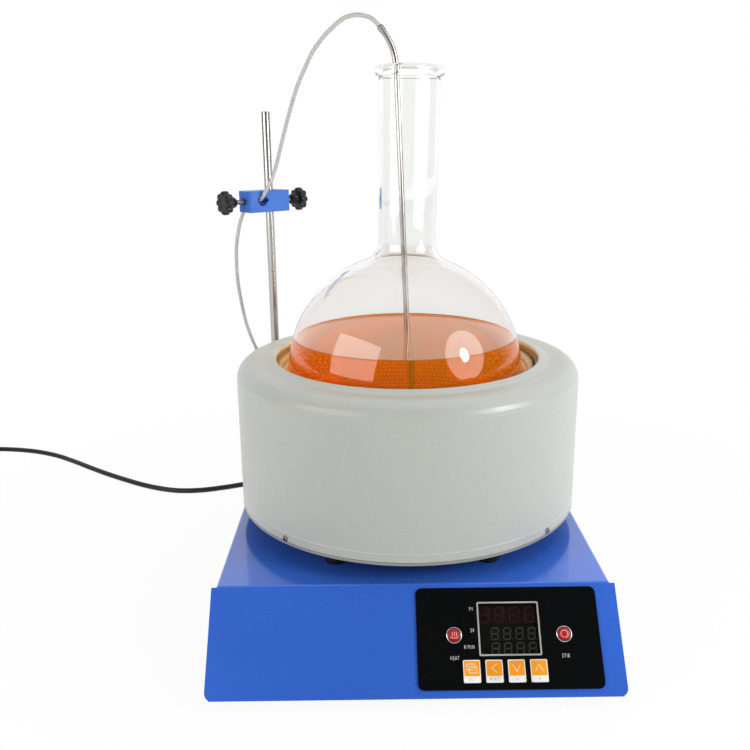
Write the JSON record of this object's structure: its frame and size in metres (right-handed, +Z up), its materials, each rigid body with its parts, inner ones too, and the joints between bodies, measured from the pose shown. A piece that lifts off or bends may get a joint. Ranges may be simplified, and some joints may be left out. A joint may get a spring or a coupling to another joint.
{
  "type": "heating mantle with stirrer",
  "caption": "Drum-shaped heating mantle on a sloped control base, with a round flask of liquid, a temperature probe, and a rod with a boss head that carries the probe's lead.",
  "frame": {"origin": "on the bench, under the axis of the mantle", "axes": "+Z up, the sloped control panel faces -Y, +X is to the right of someone who faces the panel"},
  "size_m": [0.8317, 0.6042, 0.5426],
  "materials": {
    "blue_paint": "gloss",
    "grey_paint": "satin",
    "clamp_paint": "satin",
    "steel": "brushed",
    "chrome": "polished",
    "aluminium": "satin",
    "brass": "satin",
    "black_rubber": "matt",
    "black_plastic": "satin",
    "black_gloss": "gloss",
    "frame_plastic": "gloss",
    "window_plastic": "gloss",
    "digit_plastic": "gloss",
    "board_plastic": "satin",
    "orange_plastic": "gloss",
    "red_plastic": "gloss",
    "magnet": "polished",
    "fibre_cloth": "matt",
    "seam_cloth": "matt",
    "wool": "matt",
    "sleeve_fabric": "matt",
    "lead_jacket": "satin",
    "glass": "clear",
    "liquid": "gloss"
  },
  "bodies": {
    "stand": {"base_cover": "blue_paint", "base_tray": "blue_paint", "base_foot_front_left": "black_rubber", "base_foot_front_right": "black_rubber", "base_foot_rear_left": "black_rubber", "base_foot_rear_right": "black_rubber", "base_screws": "steel", "panel_overlay": "black_gloss", "display_frame": "frame_plastic", "display_window": "window_plastic", "display_module": "digit_plastic", "control_board": "board_plastic", "board_standoffs": "brass", "key_switches": "black_plastic", "heat_bezel": "chrome", "stir_bezel": "chrome", "stir_motor": "steel", "motor_bracket": "aluminium", "mantle_shell": "grey_paint", "mantle_bottom": "grey_paint", "mantle_screws": "chrome", "mantle_foot_front_left": "black_rubber", "mantle_foot_front_right": "black_rubber", "mantle_foot_rear_left": "black_rubber", "mantle_foot_rear_right": "black_rubber", "heating_bowl": "fibre_cloth", "bowl_collar": "seam_cloth", "bowl_insulation": "wool", "heater_wire": "steel", "wire_sleeve": "sleeve_fabric", "sleeve_bush": "black_rubber", "rod_socket": "steel", "probe_tube": "steel", "probe_ferrule": "steel", "sensor_lead_upper": "lead_jacket", "sensor_lead_lower": "lead_jacket", "sensor_plug": "black_plastic", "sensor_socket": "steel", "cord_gland": "black_plastic", "power_cord": "black_rubber", "power_cord_coil": "black_rubber", "mains_plug": "black_rubber", "flask": "glass", "liquid": "liquid"},
    "rod": {"support_rod": "steel"},
    "boss": {"boss_head": "clamp_paint"},
    "screw_left": {"clamp_screw_left": "steel", "clamp_knob_left": "black_plastic"},
    "screw_right": {"clamp_screw_right": "steel", "clamp_knob_right": "black_plastic"},
    "rotor": {"motor_shaft": "steel", "magnet_hub": "aluminium", "drive_magnets": "magnet"},
    "heat_button": {"heat_button": "red_plastic"},
    "stir_button": {"stir_button": "red_plastic"},
    "key_set": {"key_set": "orange_plastic"},
    "key_shift": {"key_shift": "orange_plastic"},
    "key_down": {"key_down": "orange_plastic"},
    "key_up": {"key_up": "orange_plastic"}
  },
  "joints": [
    {"name": "rod_turn", "type": "hinge", "parent": "stand", "child": "rod", "pos_m": [-0.143, 0.15, 0.0782], "axis": [0, 0, 1], "range_deg": [-30, 30], "deforming": ["sensor_lead_upper", "sensor_lead_lower"]},
    {"name": "boss_slide", "type": "slide", "parent": "rod", "child": "boss", "axis": [0, 0, 1], "range_m": [-0.05, 0.05], "deforming": ["sensor_lead_upper", "sensor_lead_lower"]},
    {"name": "left_screw_turn", "type": "hinge", "parent": "boss", "child": "screw_left", "pos_m": [-0.17319, 0.12376, 0.3717], "axis": [0.7547, 0.6561, 0], "range_deg": [0, 540]},
    {"name": "right_screw_turn", "type": "hinge", "parent": "boss", "child": "screw_right", "pos_m": [-0.12036, 0.16968, 0.3717], "axis": [0.7547, 0.6561, 0], "range_deg": [0, 540]},
    {"name": "stirrer_spin", "type": "hinge", "parent": "stand", "child": "rotor", "pos_m": [0, 0, 0.07], "axis": [0, 0, 1], "continuous": true},
    {"name": "heat_button_press", "type": "slide", "parent": "stand", "child": "heat_button", "axis": [0, 0.7618, -0.6478], "range_m": [0, 0.001], "stiffness_N_per_m": 300},
    {"name": "stir_button_press", "type": "slide", "parent": "stand", "child": "stir_button", "axis": [0, 0.7618, -0.6478], "range_m": [0, 0.001], "stiffness_N_per_m": 300},
    {"name": "key_set_press", "type": "slide", "parent": "stand", "child": "key_set", "axis": [0, 0.7618, -0.6478], "range_m": [0, 0.0008], "stiffness_N_per_m": 300},
    {"name": "key_shift_press", "type": "slide", "parent": "stand", "child": "key_shift", "axis": [0, 0.7618, -0.6478], "range_m": [0, 0.0008], "stiffness_N_per_m": 300},
    {"name": "key_down_press", "type": "slide", "parent": "stand", "child": "key_down", "axis": [0, 0.7618, -0.6478], "range_m": [0, 0.0008], "stiffness_N_per_m": 300},
    {"name": "key_up_press", "type": "slide", "parent": "stand", "child": "key_up", "axis": [0, 0.7618, -0.6478], "range_m": [0, 0.0008], "stiffness_N_per_m": 300}
  ]
}
